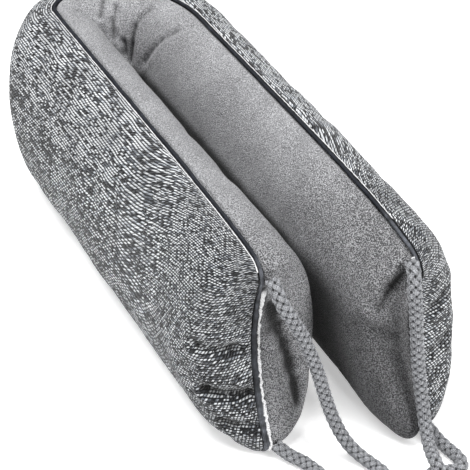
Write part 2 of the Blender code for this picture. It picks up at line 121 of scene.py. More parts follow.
# Rope routes, as in the part's source
LEFT_ROPE_ROUTE = (
    (-0.0394, -0.1832, 0.1425), (-0.0397, -0.1886, 0.1390), (-0.0388, -0.1930, 0.1315),
    (-0.0350, -0.1958, 0.1210), (-0.0295, -0.1970, 0.1070), (-0.0250, -0.1985, 0.0910),
    (-0.0210, -0.2000, 0.0740), (-0.0175, -0.2020, 0.0520), (-0.0135, -0.2065, 0.0300),
    (-0.0080, -0.2130, 0.0135), (-0.0025, -0.2220, 0.0062), (0.0015, -0.2330, 0.0048),
    (0.0030, -0.2440, 0.0047), (-0.0020, -0.2545, 0.0047), (-0.0130, -0.2570, 0.0047),
    (-0.0230, -0.2485, 0.0047), (-0.0290, -0.2335, 0.0047), (-0.0325, -0.2190, 0.0047),
    (-0.0365, -0.2050, 0.0047), (-0.0415, -0.1960, 0.0052), (-0.0466, -0.1862, 0.0088),
)
RIGHT_ROPE_ROUTE = (
    (0.0397, -0.2132, 0.1440), (0.0379, -0.2186, 0.1410), (0.0364, -0.2220, 0.1320),
    (0.0370, -0.2225, 0.1170), (0.0378, -0.2220, 0.0915), (0.0388, -0.2220, 0.0680),
    (0.0400, -0.2230, 0.0455), (0.0405, -0.2250, 0.0320), (0.0395, -0.2290, 0.0210),
    (0.0370, -0.2370, 0.0130), (0.0340, -0.2460, 0.0125), (0.0315, -0.2550, 0.0136),
    (0.0300, -0.2650, 0.0095), (0.0280, -0.2725, 0.0060), (0.0215, -0.2775, 0.0047),
    (0.0145, -0.2730, 0.0047), (0.0140, -0.2645, 0.0047), (0.0205, -0.2575, 0.0047),
    (0.0300, -0.2550, 0.0047), (0.0395, -0.2585, 0.0047), (0.0455, -0.2600, 0.0047),
    (0.0497, -0.2565, 0.0047), (0.0503, -0.2490, 0.0047), (0.0488, -0.2400, 0.0047),
    (0.0474, -0.2310, 0.0055), (0.0466, -0.2212, 0.0078),
)
ROUTE_STEPS = 24

# ---- Finer detail than the source has

PANEL_ROWS = 120  # rows of a panel from the upper seam to the lower one
PANEL_STEP = 0.0014  # between two columns along the arms
PANEL_END_COLUMNS = 34
BACK_ROWS = 12
VALLEY_TURNS = (0.35, 0.70, 1.0)  # shares of the cloth's turn into the seam
OUTLINE_ROWS = 120
OUTLINE_END_COLUMNS = 60
OUTLINE_STEP = 0.002
PUCKER_LENGTH = 0.012  # how far a seam's puckers reach into the cloth
PUCKER_START = 0.0025  # within this of the seam they fade out
PUCKER_SLANT = 0.25
PUCKER_SHIFTS = (0.0, 0.7, 1.9, 2.8)  # keep the ripples of the four seams different
LONG_SEAM_PUCKER = 0.0085  # size of one pucker
END_SEAM_PUCKER = 0.0075
UNEVENNESS = 0.0009  # of the filling
UNEVEN_SIZES = (0.055, 0.022)
NOISE_SHIFT = (13.7, 7.1, 3.3)  # between the noises of two seeds
CREASE_SHARPNESS = 1.35  # 2 is a soft trough, 1 is a sharp crease
LIP_HEIGHT = 0.20  # of a fold's raised lips, as a share of its depth
LIP_PLACE = 2.1  # from the fold's middle, in fold widths
LIP_WIDTH = 0.9
FULL_FOLD = 0.0030  # depth from which a fold's painted shade is full
FOLD_SHADE_CURVE = 1.5

# Where the two arms' inner faces lie close, painted shade darkens the nap in place of the deep shadow in
# the gap; the right arm's open end gets a weaker painted shade
GAP_SHADE = 0.97
GAP_SHADE_RIGHT_END = 0.52
GAP_SHADE_LEFT = (-0.170, -0.145)  # y where the left arm's shade starts and is full
GAP_SHADE_RIGHT = (-0.200, -0.160)
GAP_TOP = (0.111, 0.101)  # height where the shade starts and is full
GAP_SOFTNESS = 0.012  # how much softer that edge is at the open ends
GAP_SOFTER = (-0.10, -0.18)  # y where it starts to get softer and is softest

# The cloth simulation
SETTLE_STEP = 0.0052  # grid of the cloth that it settles
SETTLE_END_COLUMNS = 12
SETTLE_ROWS = 44
SETTLE_FRAMES = 20
SETTLE_SETTINGS = {  # below zero, shrink_min cuts the cloth wider than its space
    "quality": 6, "mass": 0.3, "tension_stiffness": 25.0, "compression_stiffness": 25.0,
    "shear_stiffness": 12.0, "bending_stiffness": 0.4, "shrink_min": -0.022,
    "use_pressure": True, "uniform_pressure_force": 4.0, "vertex_group_mass": "sewn",
}
SETTLE_CAP = 0.0028  # the furthest that it may move a point
SETTLE_SMOOTH = 25  # blurs that take its broad swelling out
SETTLE_TAUT = 0.45  # share of the wrinkles that stays where the cloth is taut
SETTLE_SLACK_LENGTH = 0.045  # of the slack cloth at the ends

# Piping and the threads beside it
RING_STEP = 0.0012  # between two rings of the piping
PIPING_SIDES = 14
PIPING_SUNK = 0.42  # share of its radius that the upper seam's cloth hides
PIPING_SUNK_FROM = 0.5  # share of the seam's height
PIPING_SUNK_RISE = 0.3
PIPING_SWAYS = ((0.00045, 0.028, 3), (0.00035, 0.013, 5))  # reach, size and noise seed
PIPING_SWELL = (0.07, 0.011, 8)  # share of its radius, size and noise seed
THREAD_SIDES = 8
THREAD_WANDER = 0.0022  # size of a thread's wobbles
THREAD_LUMP = 0.0035  # size of its thick places
THREAD_LUMPINESS = 0.9
# A thread's thickness is for each thread diameter, and it lies sideways and outwards of the seam line
TOP_THREAD = {"sideways": 0.00215, "outward": 0.0001, "thickness": 0.75, "step": 0.0012,
              "ragged": 0.00022, "seed": 21}
END_TAPE = {"sideways": -0.0023, "outward": 0.0014, "thickness": 2.3, "step": 0.0007,
            "ragged": 0.00105, "seed": 34}
EDGE_THREADS = (  # name, shares of the way round the seam, and kind
    ("tweed_side_thread", 0.004, 0.408, TOP_THREAD),
    ("left_edge_tape", 0.925, 0.996, END_TAPE),
    ("right_edge_tape", 0.424, 0.492, END_TAPE),
)

# The braid
BRAID_STRANDS = 8
STRAND_STEP = 0.00085
STRAND_SIDES = 14
STRAND_GROOVE = 0.45  # between the two yarns of a strand
STRAND_GROOVE_WIDTH = 0.30
STRAND_UNEVENNESS = 0.06
STRAND_UNEVEN_SIZE = 0.006
STRAND_SEED = 11
CORE_SHARE = 0.92  # the core's radius, as a share of the braid's
STRAND_SHADE_REACH = 0.85  # in strand thicknesses outside the braid's radius, where the painted shade between strands ends
STRAND_SHADE_CURVE = 1.4

# ---- The weave, in metres along the cloth and round it from half height. Scales are for each metre

WEAVE_STRETCH = 5.0  # rows lie closer under the upper seam than below, for each metre
WEAVE_FAN = -0.026  # how far the rows spread at the ends
END_ZONE = (0.15, 0.04)  # from the end, where the weave starts to change and has changed
LOW_ZONE = (-0.065, -0.015)  # round the cloth, where its upper side ends and its lower starts
FINER_END = ((0.45, 0.42), (0.85, 0.35))  # where in the end zone the rows get finer, and how much
FINER_LOW_END = (0.62, 0.45)  # again, in its lower part
FINER_PICKS = 0.30  # how much closer the crossings lie at the ends
PICK_SKEW = 1.15  # how far the threads across the arms lean towards the bend
ROW_DRIFT = (38.0, 0.0026)  # scale and reach of the rows' wandering
ROW_SHAKE = 0.0010
SHAKE_SCALES = (60.0, 300.0)  # along the cloth and round it
STROKES_PER_PICK = 1.15  # strokes of one yarn's colour for each crossing
STROKE_SHIFT = 9.0  # the furthest that a row's strokes are shifted, in strokes
SLUB_SCALE = 45.0
SLUB_ROW_SHIFT = 7.31  # between the slubs of two neighbouring rows
BAND_SCALES = (40.0, 330.0)
COARSE_SCALE = 150.0
PATCH_STRENGTH = 0.45
YARN_TONES = {"slubs": 1.25, "bands": 0.35, "specks": 0.68, "coarse": 0.15, "cross": 0.08}
YARN_TONES_AT_END = {"streaks": -0.40, "cross": 0.10}
# the shade entry makes the yarns darker on the lower side of the belly: painted shade
YARN_TONES_LOW = {"coarse": 0.25, "shade": -0.06}
YARN_SHADE = 0.565
YARN_STOPS = (0.29, 0.40, 0.50, 0.60)  # shades of the black, middle, light and white yarns
YARN_GAPS = {"row": (3.4, -1.75), "cell": (1.6, 0.30)}  # steepness and start of the gaps
CELL_GAP_DEEPER = -0.60  # at the ends and low down
VELOUR_ROUGH = (-0.08, -0.20)  # y over which the nap gets rougher towards the open ends
VELOUR_RIGHT = (-0.005, 0.010)  # x from the left arm to the right arm
PIPING_PALER_ENDS = (-0.165, -0.180)  # y over which the piping's cover turns paler towards the ends
PIPING_THREAD = 0.0016
WOOL_YARN = 0.0014
WOOL_TWIST = 1.1
THREAD_STITCH = 0.0013

# ---- Camera and lights

CAMERA_TARGET = (-0.0031, -0.0484, 0.07)
CAMERA_DISTANCE = 1.172
CAMERA_AZIMUTH = math.radians(-23.18)
CAMERA_ELEVATION = math.radians(38.49)
CAMERA_ROLL = math.radians(-5.12)
SENSOR_WIDTH = 36.0
PICTURE_PIXELS = 470.0
FOCAL_PIXELS = 1700.0
CAMERA_LENS = FOCAL_PIXELS / PICTURE_PIXELS * SENSOR_WIDTH
FLOOR_SIZE = 5.0
FLOOR_GLOW = 0.44
WORLD_STRENGTH = 0.26
LIGHT_AIM = (0.0, 0.0, 0.08)
LIGHTS = (  # name, place, size and power
    ("soft_top", (-0.36, 0.08, 2.0), 0.9, 44.0),
    ("soft_left", (-1.7, 0.1, 1.1), 0.9, 5.0),
    ("soft_right", (0.8, -1.6, 1.3), 0.7, 30.0),
)


# ---- Small helpers

def linked(name, data):
    made = bpy.data.objects.new(name, data)
    bpy.context.scene.collection.objects.link(made)
    return made


def new_mesh(name, mesh_bm):
    mesh = bpy.data.meshes.new(name)
    mesh_bm.to_mesh(mesh)
    mesh_bm.free()
    return mesh


def add_piece(name, mesh_bm, material):
    mesh = new_mesh(name, mesh_bm)
    mesh.materials.append(material)
    mesh.shade_smooth()
    piece = linked(name, mesh)
    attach(piece, "root")
    return piece


def unit(vectors):
    return vectors / np.linalg.norm(vectors, axis=-1, keepdims=True)


def eased(value, start, stop):
    share = np.clip((value - start) / (stop - start), 0.0, 1.0)
    return share * share * (3.0 - 2.0 * share)


def between(top, bottom, level):
    """From bottom at level -1 to top at level 1."""
    return (top + bottom) / 2.0 + (top - bottom) / 2.0 * level


def distances(points):
    """Distance from the first point along the first axis of an array of points."""
    steps = np.linalg.norm(np.diff(points, axis=0), axis=-1)
    return np.concatenate([np.zeros_like(steps[:1]), np.cumsum(steps, axis=0)])


def read_along(marks, distance, points):
    """Places at some distances along a line of points."""
    return np.stack([np.interp(marks, distance, axis) for axis in points.T], -1)


def above_floor(points):
    points[..., 2] = np.maximum(points[..., 2], 0.0)
    return points


def ring_angles(sides):
    return 2.0 * math.pi * np.arange(sides) / sides


def hold_rim(values):
    values[[0, -1], :] = 0.0
    values[:, [0, -1]] = 0.0


def soft_noise(points, size, seed):
    """Smooth noise from -1 to 1 at each point, with bumps about as large as size."""
    shift = np.array(NOISE_SHIFT) * seed
    places = np.asarray(points).reshape(-1, 3) / size + shift
    values = np.array([noise.noise(Vector(place)) for place in places])
    return values.reshape(np.asarray(points).shape[:-1])


def wander(marks, size, seed):
    """Smooth noise along a line, one value for each mark."""
    return soft_noise(np.multiply.outer(marks, (1.0, 0.0, 0.0)), size, seed)


# ---- The seam plane: a U in plan, with a distance along it and a height

def plan_points():
    turn = np.linspace(0.0, math.pi, PLAN_SAMPLES)
    right_seam_x = LEFT_SEAM_X + bpy.context.scene.draught_cushion.seam_spacing
    bend_x = LEFT_SEAM_X + (right_seam_x - LEFT_SEAM_X) * (1.0 - np.cos(turn)) / 2.0
    bend_y = BEND_Y[0] + (BEND_Y[1] - BEND_Y[0]) * turn / math.pi + BEND_REACH * np.sin(turn)
    left = (LEFT_SEAM_X, END_Y[0] - PLAN_OVERRUN)
    right = (right_seam_x, END_Y[1] - PLAN_OVERRUN)
    return np.vstack([left, np.column_stack([bend_x, bend_y]), right])


class Seam:
    """Reads places on the seam plane by distance along the U, for whole arrays at once."""

    def __init__(self):
        sizes = bpy.context.scene.draught_cushion
        self.height = sizes.height
        self.piping = sizes.piping_diameter / 2.0
        self.points = plan_points()
        self.distance = distances(self.points) - PLAN_OVERRUN
        self.length = float(self.distance[-1]) - PLAN_OVERRUN

    def plan(self, along):
        return read_along(along, self.distance, self.points)

    def outward(self, along):
        reach = 0.0015
        run = unit(self.plan(along + reach) - self.plan(along - reach))
        return np.stack([-run[..., 1], run[..., 0]], -1)

    def from_end(self, along):
        return np.maximum(np.minimum(along, self.length - along), 0.0)

    def near_end(self, along, length):
        """1 at the ends, fading out over about a length."""
        return np.exp(-self.from_end(along) / length)

    def turned(self, along):
        """From 0 in the left arm to 1 in the right arm."""
        return eased(along, self.distance[1], self.distance[-2])

    def in_bend(self, along):
        """1 in the middle of the bend and 0 in the arms."""
        turned = self.turned(along)
        return 4.0 * turned * (1.0 - turned)

    def by_arm(self, along, pair):
        return np.where(along < self.length / 2.0, *pair)

    def corner_drop(self, along):
        inset = CORNER_RADIUS - np.minimum(self.from_end(along), CORNER_RADIUS)
        return CORNER_RADIUS - np.sqrt(CORNER_RADIUS ** 2 - inset ** 2)

    def top(self, along):
        droop = self.by_arm(along, DROOP) * self.near_end(along, DROOP_LENGTH)
        return self.height - self.piping - droop - self.corner_drop(along)

    def bottom(self, along):
        return self.piping + self.corner_drop(along)

    def drawn(self, along, level):
        """Distance along the seam after the stuffing draws the end seams in."""
        draw = self.by_arm(along, END_DRAW) * (1.0 - level * level)
        slant = self.by_arm(along, END_SLANT) * (1.0 - level) / 2.0
        inward = self.by_arm(along, (1.0, -1.0))
        return along + inward * self.near_end(along, END_DRAW_LENGTH) * (draw - slant)

    def place(self, along, height, sideways):
        """World points; sideways is positive towards the tweed side."""
        end_lean = self.by_arm(along, (0.0, RIGHT_END_LEAN - SEAM_LEAN))
        lean = SEAM_LEAN + end_lean * self.near_end(along, END_DRAW_LENGTH)
        lean = lean * (self.height - height)
        plan = self.plan(along) + self.outward(along) * np.asarray(sideways + lean)[..., None]
        return np.concatenate([plan, np.broadcast_to(height, plan.shape[:-1])[..., None]], -1)


def column_distances(seam, end_columns, step):
    end_turn = np.linspace(0.0, math.pi / 2.0, end_columns)
    end = END_TAPER * (1.0 - np.abs(np.cos(end_turn)) ** (2.0 / OUTER_END_BLUNTNESS))
    count = round((seam.length - 2.0 * END_TAPER) / step)
    arms = np.linspace(END_TAPER, seam.length - END_TAPER, count + 1)
    return np.concatenate([end, arms[1:], seam.length - end[::-1][1:]])


def outline_points(seam, columns, rows):
    """The piping's centre line in the seam plane: (column, row) pairs, and distance and height."""
    last = len(columns) - 1
    ring = [(column, 0) for column in range(last + 1)]
    ring += [(last, row) for row in range(1, rows + 1)]
    ring += [(column, rows) for column in range(last - 1, -1, -1)]
    ring += [(0, row) for row in range(rows - 1, 0, -1)]
    level = np.cos(math.pi * np.array([row for _, row in ring]) / rows)
    along = columns[[column for column, _ in ring]]
    height = between(seam.top(along), seam.bottom(along), level)
    return ring, np.column_stack([seam.drawn(along, level), height])


def outline_normals(flat):
    """In-plane unit vectors that point out of the cushion, as (along, height)."""
    run = unit(np.roll(flat, -1, axis=0) - np.roll(flat, 1, axis=0))
    return np.column_stack([-run[:, 1], run[:, 0]])


def even_outline(seam, step):
    """The outline at even distances all round, with its normals, for the piping and threads."""
    columns = column_distances(seam, OUTLINE_END_COLUMNS, OUTLINE_STEP)
    _, flat = outline_points(seam, columns, OUTLINE_ROWS)
    closed = np.vstack([flat, flat[:1]])
    distance = distances(closed)
    length = float(distance[-1])
    marks = np.linspace(0.0, length, round(length / step), endpoint=False)
    even = read_along(marks, distance, closed)
    return marks, length, even, outline_normals(even)


def beside_outline(seam, flat, normals, out, sideways):
    """World points of rings that stand off the outline."""
    out = np.broadcast_to(out, (len(flat), out.shape[-1]))
    rings = seam.place(flat[:, :1] + normals[:, :1] * out, flat[:, 1:] + normals[:, 1:] * out, sideways)
    return above_floor(rings)


# ---- The two filled panels

def bulge(seam, along, outer):
    left, right, bend = OUTER_BULGES if outer else INNER_BULGES
    bluntness = OUTER_END_BLUNTNESS if outer else INNER_END_BLUNTNESS
    fill = 1.0 - np.minimum(seam.from_end(along) / END_TAPER, 1.0)
    taper = (1.0 - fill ** bluntness) ** (1.0 / bluntness)
    arm = left + (right - left) * seam.turned(along)
    swell = 0.0
    if not outer:
        swell = seam.by_arm(along, END_SWELL) * seam.near_end(along, END_SWELL_LENGTH)
    return (arm + (bend - arm) * seam.in_bend(along) + swell) * taper


def lower_fullness(seam, along, outer):
    if not outer:
        return INNER_LOWER_FULLNESS
    end = seam.by_arm(along, OUTER_END_FULLNESS)
    return OUTER_LOWER_FULLNESS + (end - OUTER_LOWER_FULLNESS) * seam.near_end(along, END_SWELL_LENGTH)


def overhang(seam, along, level, share):
    """How far the plain panel's end hangs over its seam, as a run along the seam."""
    reach = seam.by_arm(along, OVERHANG) * seam.near_end(along, OVERHANG_LENGTH)
    near, loss = OVERHANG_PROFILE
    profile = np.minimum(share / OVERHANG_RISE, 1.0) * (near - loss * share)
    return reach * profile * (1.0 - level) / 2.0


def filled_grid(seam, columns, rows, outer):
    """Points of a panel's filled side: one column for each distance, rows from the upper seam down."""
    angle = math.pi * np.arange(rows + 1) / rows
    level = np.cos(angle)
    along = columns[:, None]
    fullness = np.where(level > 0.0, UPPER_FULLNESS, lower_fullness(seam, along, outer))
    top, bottom = seam.top(along), seam.bottom(along)
    low = bottom - SAG * np.minimum(seam.from_end(along) / END_TAPER, 1.0)
    rim = between(top, bottom, level)
    height = between(top, low, level)
    sideways = SEAM_VALLEY + bulge(seam, along, outer) * np.clip(np.sin(angle), 0.0, 1.0) ** fullness
    height[:, [0, -1]] = rim[:, [0, -1]]
    height[[0, -1]] = rim[[0, -1]]
    sideways[:, [0, -1]] = SEAM_VALLEY
    drawn = seam.drawn(along, level)
    if not outer:
        over = overhang(seam, along, level, (sideways - SEAM_VALLEY) / INNER_BULGES[0])
        over[[0, -1]] = 0.0
        drawn = drawn + over
    return seam.place(drawn, height, sideways if outer else -sideways)


def grid_normals(grid, outer):
    across = np.cross(np.gradient(grid, axis=0), np.gradient(grid, axis=1)) * (1.0 if outer else -1.0)
    length = np.linalg.norm(across, axis=-1, keepdims=True)
    return across / np.maximum(length, 1e-12)


def fold_depths(grid, folds):
    """How deep every fold presses each point: a trough with a raised lip on each side."""
    troughs = np.zeros(grid.shape[:2])
    lips = np.zeros(grid.shape[:2])
    for points in folds:
        for (*start, depth, width), following in zip(points, points[1:]):
            run = np.array(following[:3]) - start
            share = np.clip(((grid - start) @ run) / (run @ run), 0.0, 1.0)
            away = np.linalg.norm(grid - start - share[..., None] * run, axis=-1) / width
            troughs = np.maximum(troughs, depth * np.exp(-away ** CREASE_SHARPNESS))
            lip = np.exp(-((away - LIP_PLACE) / LIP_WIDTH) ** 2)
            lips = np.maximum(lips, LIP_HEIGHT * depth * lip)
    return troughs - lips


def painted_gap_shade(grid):
    """How much painted shade darkens the nap where the two arms' inner faces lie close, in place of the
    shadow in the gap.
    """
    along, height = grid[..., 1], grid[..., 2]
    left = GAP_SHADE * eased(along, *GAP_SHADE_LEFT)
    right_end = GAP_SHADE_RIGHT_END
    right = right_end + (GAP_SHADE - right_end) * eased(along, *GAP_SHADE_RIGHT)
    spread = GAP_SOFTNESS * eased(along, *GAP_SOFTER)
    start, full = GAP_TOP
    return eased(height, start + spread, full - spread) * np.where(grid[..., 0] < 0.0, left, right)


def seam_puckers(columns, grid, seed, strength):
    """Small ripples that run from the seam into the cloth, strongest close to it."""
    down = distances(grid.swapaxes(0, 1)).T
    across = distances(grid)
    run = columns[:, None] + 0.0 * down
    seams = ((down, run, LONG_SEAM_PUCKER), (down[:, -1:] - down, run, LONG_SEAM_PUCKER),
             (across, down, END_SEAM_PUCKER), (across[-1:] - across, down, END_SEAM_PUCKER))
    depth = np.zeros(grid.shape[:2])
    for shift, (distance, marks, size) in zip(PUCKER_SHIFTS, seams):
        near = np.exp(-distance / PUCKER_LENGTH) * (1.0 - np.exp(-distance / PUCKER_START))
        depth += near * wander(marks + shift + distance * PUCKER_SLANT, size, seed)
    return depth * strength


def loft_unevenness(grid, seed):
    """The filling never lies quite even: broad dents, and small ones half as deep."""
    broad, small = UNEVEN_SIZES
    return UNEVENNESS * (soft_noise(grid, broad, seed) + 0.5 * soft_noise(grid, small, seed + 5))


def grid_sample(values, columns, rows):
    """Reads an array by fractional column and row."""
    low_c = np.clip(np.floor(columns).astype(int), 0, values.shape[0] - 2)
    low_r = np.clip(np.floor(rows).astype(int), 0, values.shape[1] - 2)
    share_c = (columns - low_c)[:, None]
    share_r = (rows - low_r)[None]
    corner = [values[np.ix_(low_c + i, low_r + j)] for i, j in ((0, 0), (1, 0), (0, 1), (1, 1))]
    return ((corner[0] * (1.0 - share_c) + corner[1] * share_c) * (1.0 - share_r)
            + (corner[2] * (1.0 - share_c) + corner[3] * share_c) * share_r)


def spread_out(values, steps):
    """Blurs an array in small steps."""
    for _ in range(steps):
        padded = np.pad(values, 1, mode="edge")
        values = (padded[:-2, 1:-1] + padded[2:, 1:-1] + padded[1:-1, :-2] + padded[1:-1, 2:]
                  + 2.0 * values) / 6.0
    return values


def coarse_sheet(start, outer):
    """A sheet through a grid of points, with its rim in the vertex group that stays sewn down."""
    index = np.arange(start.shape[0] * start.shape[1]).reshape(start.shape[:2])
    faces = np.stack([index[:-1, :-1], index[1:, :-1], index[1:, 1:], index[:-1, 1:]], -1).reshape(-1, 4)
    if not outer:
        faces = faces[:, ::-1]
    mesh = bpy.data.meshes.new("settling_cloth")
    mesh.from_pydata(start.reshape(-1, 3).tolist(), [], faces.tolist())
    mesh.update()
    cloth = linked("settling_cloth", mesh)
    rim = np.concatenate([index[0], index[-1], index[1:-1, 0], index[1:-1, -1]])
    cloth.vertex_groups.new(name="sewn").add(rim.tolist(), 1.0, "REPLACE")
    return cloth


def settle_cloth(seam, columns, outer, folds):
    """Puffs a coarse sheet of the panel's cloth, sewn down along its rim, and reads its wrinkles.

    Returns how far each point of the fine grid moves out, square to the cloth.
    """
    coarse = column_distances(seam, SETTLE_END_COLUMNS, SETTLE_STEP)
    grid = filled_grid(seam, coarse, SETTLE_ROWS, outer)
    normals = grid_normals(grid, outer)
    depth = fold_depths(grid, folds)
    hold_rim(depth)
    start = grid - normals * depth[..., None]
    cloth = coarse_sheet(start, outer)
    mesh = cloth.data
    modifier = cloth.modifiers.new("puff", "CLOTH")
    for setting, value in SETTLE_SETTINGS.items():
        setattr(modifier.settings, setting, value)
    modifier.settings.effector_weights.gravity = 0.0
    modifier.collision_settings.use_collision = False
    modifier.collision_settings.use_self_collision = False
    modifier.point_cache.frame_start = 1
    modifier.point_cache.frame_end = SETTLE_FRAMES
    scene = bpy.context.scene
    for number in range(1, SETTLE_FRAMES + 1):
        scene.frame_set(number)
    settled = cloth.evaluated_get(bpy.context.evaluated_depsgraph_get()).to_mesh()
    places = np.empty(len(settled.vertices) * 3)
    settled.vertices.foreach_get("co", places)
    moved = ((places.reshape(start.shape) - start) * normals).sum(axis=-1)
    bpy.data.objects.remove(cloth, do_unlink=True)
    bpy.data.meshes.remove(mesh)
    scene.frame_set(1)
    wrinkles = moved - spread_out(moved, SETTLE_SMOOTH)
    slack = seam.near_end(coarse, SETTLE_SLACK_LENGTH)
    if not outer:
        slack = slack + seam.in_bend(coarse)
    kept = SETTLE_TAUT + (1.0 - SETTLE_TAUT) * np.minimum(slack, 1.0)
    wrinkles = SETTLE_CAP * np.tanh(wrinkles / SETTLE_CAP) * kept[:, None]
    at_column = np.interp(columns, coarse, np.arange(len(coarse)))
    return grid_sample(wrinkles, at_column, np.linspace(0.0, SETTLE_ROWS, PANEL_ROWS + 1))


def cloth_coordinates(seam, columns, grid):
    """Distances in the cloth, in metres, along the arm and round the section, for the weave."""
    down = distances(grid.swapaxes(0, 1)).T
    round_section = down - down[:, PANEL_ROWS // 2][:, None]
    steps = np.linalg.norm(np.diff(grid, axis=0), axis=-1)
    mean_step = steps.mean(axis=1, keepdims=True) + 0.0 * steps
    near_end = seam.from_end((columns[1:] + columns[:-1]) / 2.0) < END_TAPER
    steps = np.where(near_end[:, None], steps, mean_step)
    run = np.concatenate([np.zeros_like(steps[:1]), np.cumsum(steps, axis=0)])
    first = int(np.argmax(columns >= END_TAPER - 1e-9))
    run = run - run[first] + columns[first]
    return np.stack([run, round_section], -1)


def grid_vertices(mesh_bm, grid, painted_shade):
    """Vertices at a grid of points. Their layer "fold" holds each one's painted shade."""
    layer = mesh_bm.verts.layers.float.new("fold")
    vertices = [[mesh_bm.verts.new(spot) for spot in line] for line in grid]
    for line, shares in zip(vertices, painted_shade):
        for vertex, share in zip(line, shares):
            vertex[layer] = share
    return vertices


def panel_mesh(seam, columns, grid, cloth_uv, painted_shade, side):
    """One filled half as a closed body: puffed side, valley round the piping, flat seam side."""
    mesh_bm = bmesh.new()
    layer = mesh_bm.loops.layers.uv.new("cloth")
    vertices = grid_vertices(mesh_bm, grid, painted_shade)
    for column in range(len(columns) - 1):
        for row in range(PANEL_ROWS):
            corners = ((column, row), (column + 1, row), (column + 1, row + 1), (column, row + 1))
            face = mesh_bm.faces.new([vertices[i][j] for i, j in corners])
            for loop, (i, j) in zip(face.loops, corners):
                loop[layer].uv = cloth_uv[i, j]
    ring, flat = outline_points(seam, columns, PANEL_ROWS)
    normals = outline_normals(flat)
    rim = [vertices[column][row] for column, row in ring]
    for turn in VALLEY_TURNS:
        inset = SEAM_VALLEY * math.sin(turn * math.pi / 2.0)
        sideways = max(SEAM_VALLEY * math.cos(turn * math.pi / 2.0), CLOTH_GAP / 2.0)
        inner_flat = flat - normals * inset
        spots = seam.place(inner_flat[:, 0], inner_flat[:, 1], np.full(len(flat), side * sideways))
        inner = [mesh_bm.verts.new(spot) for spot in spots]
        for number in range(len(rim)):
            before = number - 1
            mesh_bm.faces.new((rim[before], rim[number], inner[number], inner[before]))
        rim = inner
    close_back(mesh_bm, seam, columns, dict(zip(ring, rim)), side)
    bmesh.ops.recalc_face_normals(mesh_bm, faces=mesh_bm.faces)
    return mesh_bm


def close_back(mesh_bm, seam, columns, edge, side):
    """The flat side along the seam plane, inside the panel's rim."""
    last = len(columns) - 1
    first = int(np.argmax(columns > 2.0 * SEAM_VALLEY))
    back_rows = [PANEL_ROWS * number // BACK_ROWS for number in range(BACK_ROWS + 1)]
    back = dict(edge)
    for column in range(first, last - first + 1):
        along = columns[column]
        for row in back_rows[1:-1]:
            level = math.cos(math.pi * row / PANEL_ROWS)
            height = between(seam.top(along), seam.bottom(along), level)
            middle = seam.place(seam.drawn(along, level), height, side * CLOTH_GAP / 2.0)
            back[column, row] = mesh_bm.verts.new(middle)
    for upper, lower in zip(back_rows, back_rows[1:]):
        for column in range(first, last - first):
            mesh_bm.faces.new((back[column, upper], back[column + 1, upper],
                               back[column + 1, lower], back[column, lower]))
        for end, inmost, step in ((0, first, 1), (last, last - first, -1)):
            near_end = list(range(end, inmost, step))
            rim = [back[end, row] for row in range(upper, lower + 1)]
            if upper == 0:
                rim = [back[column, 0] for column in near_end[:0:-1]] + rim
            if lower == PANEL_ROWS:
                rim = rim + [back[column, PANEL_ROWS] for column in near_end[1:]]
            mesh_bm.faces.new([back[inmost, upper]] + rim + [back[inmost, lower]])


def panel_piece(name, node, material, outer, folds, seed, pucker):
    seam = Seam()
    columns = column_distances(seam, PANEL_END_COLUMNS, PANEL_STEP)
    grid = filled_grid(seam, columns, PANEL_ROWS, outer)
    cloth_uv = cloth_coordinates(seam, columns, grid)
    depth = fold_depths(grid, folds)
    # Painted shade, fullest in the deepest folds
    painted_shade = np.clip(depth / FULL_FOLD, 0.0, 1.0) ** FOLD_SHADE_CURVE
    # Painted shade in the gap between the arms, weaker at the right arm's open end
    if not outer:
        painted_shade = np.maximum(painted_shade, painted_gap_shade(grid))
    depth += seam_puckers(columns, grid, seed, pucker)
    depth += loft_unevenness(grid, seed)
    depth -= settle_cloth(seam, columns, outer, folds)
    hold_rim(depth)
    grid = above_floor(grid - grid_normals(grid, outer) * depth[..., None])
    side = 1.0 if outer else -1.0
    piece = add_piece(name, panel_mesh(seam, columns, grid, cloth_uv, painted_shade, side), material)
    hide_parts(node)


# ---- Tubes: piping, threads and strands

def tube_mesh(rings, closed=False, marks=None, painted_shade=None):
    """A tube through rings of points, with cloth coordinates along it and round it."""
    mesh_bm = bmesh.new()
    layer = mesh_bm.loops.layers.uv.new("cloth")
    vertices = grid_vertices(mesh_bm, rings, () if painted_shade is None else painted_shade)
    if marks is None:
        marks = distances(rings.mean(axis=1))
    count, sides = rings.shape[:2]
    girth = np.linalg.norm(rings[0] - np.roll(rings[0], 1, axis=0), axis=1).sum()
    for number in range(count if closed else count - 1):
        following = (number + 1) % count
        ahead = marks[following] if following else marks[-1] + marks[1] - marks[0]
        for side in range(sides):
            next_side = (side + 1) % sides
            face = mesh_bm.faces.new((vertices[number][side], vertices[following][side],
                                      vertices[following][next_side], vertices[number][next_side]))
            corners = ((marks[number], side), (ahead, side), (ahead, side + 1), (marks[number], side + 1))
            for loop, (run, around) in zip(face.loops, corners):
                loop[layer].uv = (run, girth * around / sides)
    if not closed:
        mesh_bm.faces.new(vertices[0])
        mesh_bm.faces.new(vertices[-1])
    bmesh.ops.recalc_face_normals(mesh_bm, faces=mesh_bm.faces)
    return mesh_bm


